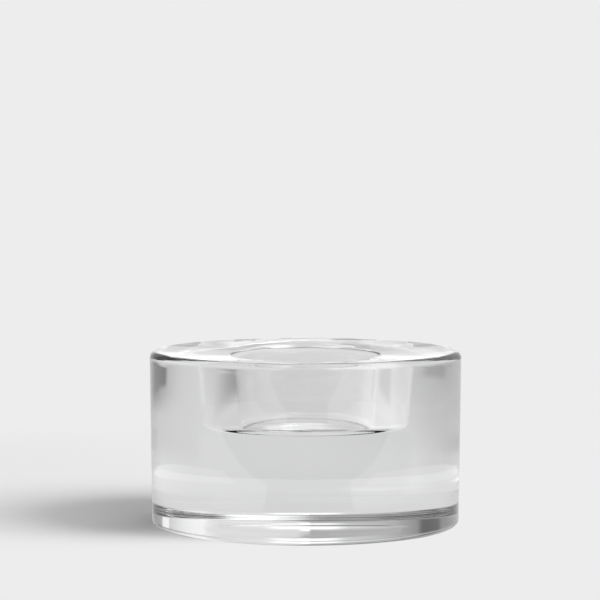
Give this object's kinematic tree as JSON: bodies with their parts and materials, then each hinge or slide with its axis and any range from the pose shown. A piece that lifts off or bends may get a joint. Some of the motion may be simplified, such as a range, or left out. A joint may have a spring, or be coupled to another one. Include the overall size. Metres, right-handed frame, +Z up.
{
  "type": "glass votive holder",
  "caption": "Thick round puck of clear pressed glass with a slightly dished top face and a round well that holds a tea light.",
  "frame": {"origin": "centre of the underside, on the surface the holder stands on", "axes": "+Z up along the axis of the puck and of its well; the body is round, so X and Y are any two level directions"},
  "size_m": [0.09, 0.09, 0.0504],
  "materials": {
    "clear_glass": "clear colourless pressed glass, fire-polished and glossy all over, with soft rounded edges"
  },
  "bodies": {
    "root": {"glass_body": "clear_glass"}
  },
  "joints": []
}
